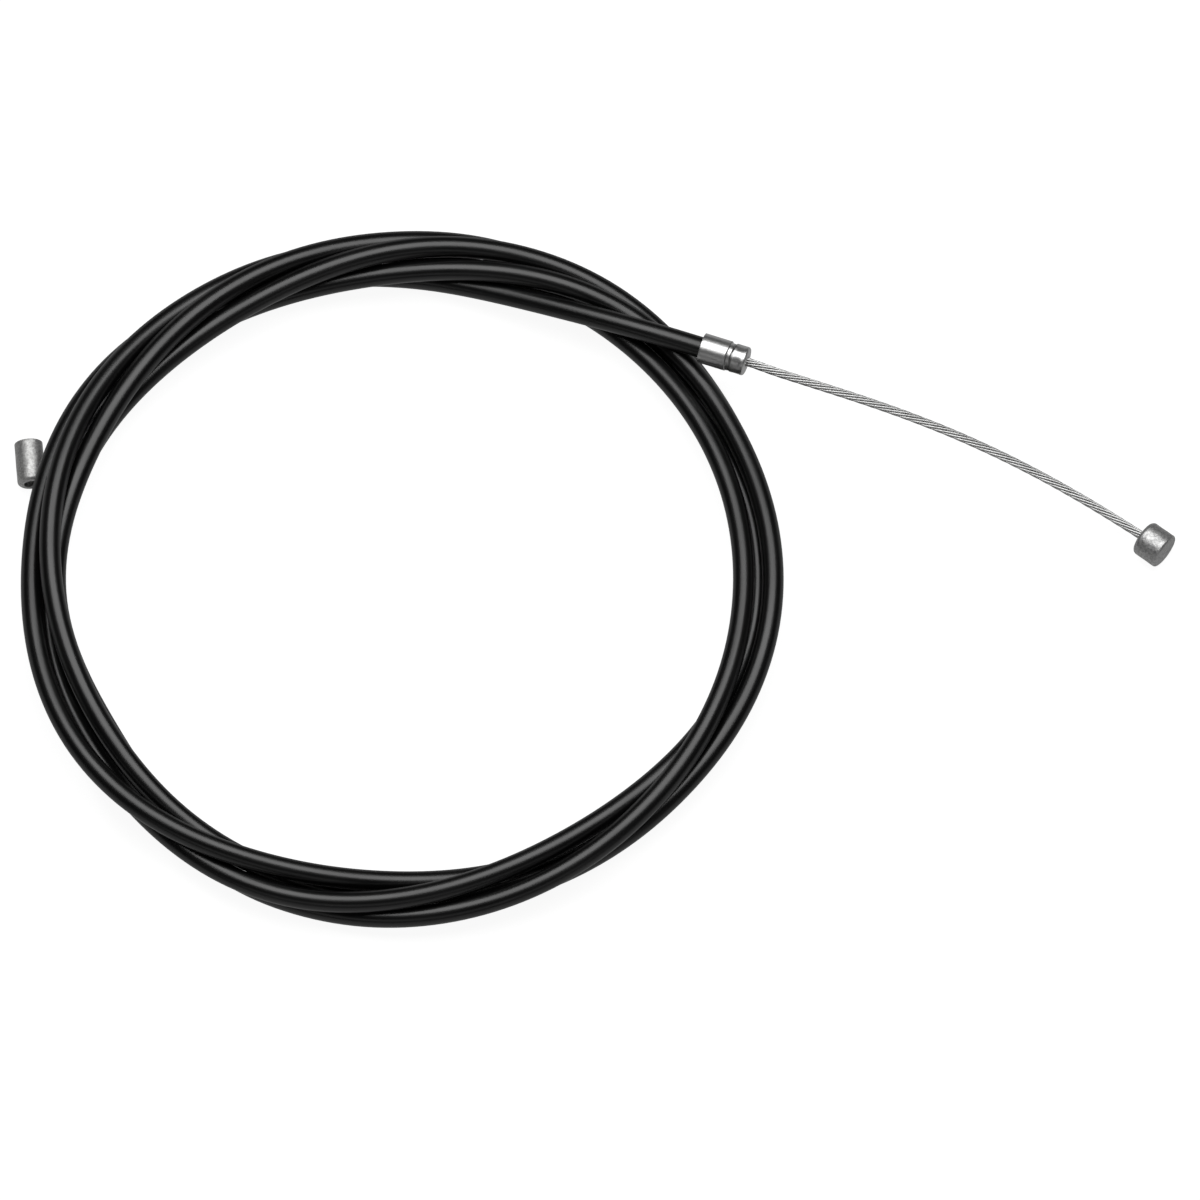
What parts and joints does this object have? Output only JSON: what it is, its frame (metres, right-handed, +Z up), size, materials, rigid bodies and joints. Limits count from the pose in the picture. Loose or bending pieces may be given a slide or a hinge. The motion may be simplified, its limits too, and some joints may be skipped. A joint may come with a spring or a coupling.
{
  "type": "bicycle brake cable",
  "caption": "Bicycle brake cable coiled in 4.4 turns: black sheathed housing, bright stranded wire with a cast barrel head, and metal end caps.",
  "frame": {"origin": "centre of the bounding box at its base, on the surface the coil lies on", "axes": "+X along the object's longest side, towards the barrel head; +Z up, out of the plane of the coil"},
  "size_m": [0.2582, 0.1674, 0.0175],
  "materials": {
    "sheath": "black extruded PVC, satin with a soft sheen",
    "winding": "flat steel wire wound in a close spiral",
    "liner": "natural low-friction plastic",
    "wire": "galvanised steel strand",
    "head_zinc": "cast zinc alloy, satin grey",
    "bright_nickel": "bright nickel plate, lightly crimped",
    "dull_nickel": "dull tumbled nickel plate"
  },
  "bodies": {
    "root": {"outer_jacket": "sheath", "spiral_casing": "winding", "inner_liner": "liner", "inner_wire": "wire", "lever_end_cap": "bright_nickel", "caliper_end_cap": "dull_nickel", "cable_head": "head_zinc"}
  },
  "joints": []
}
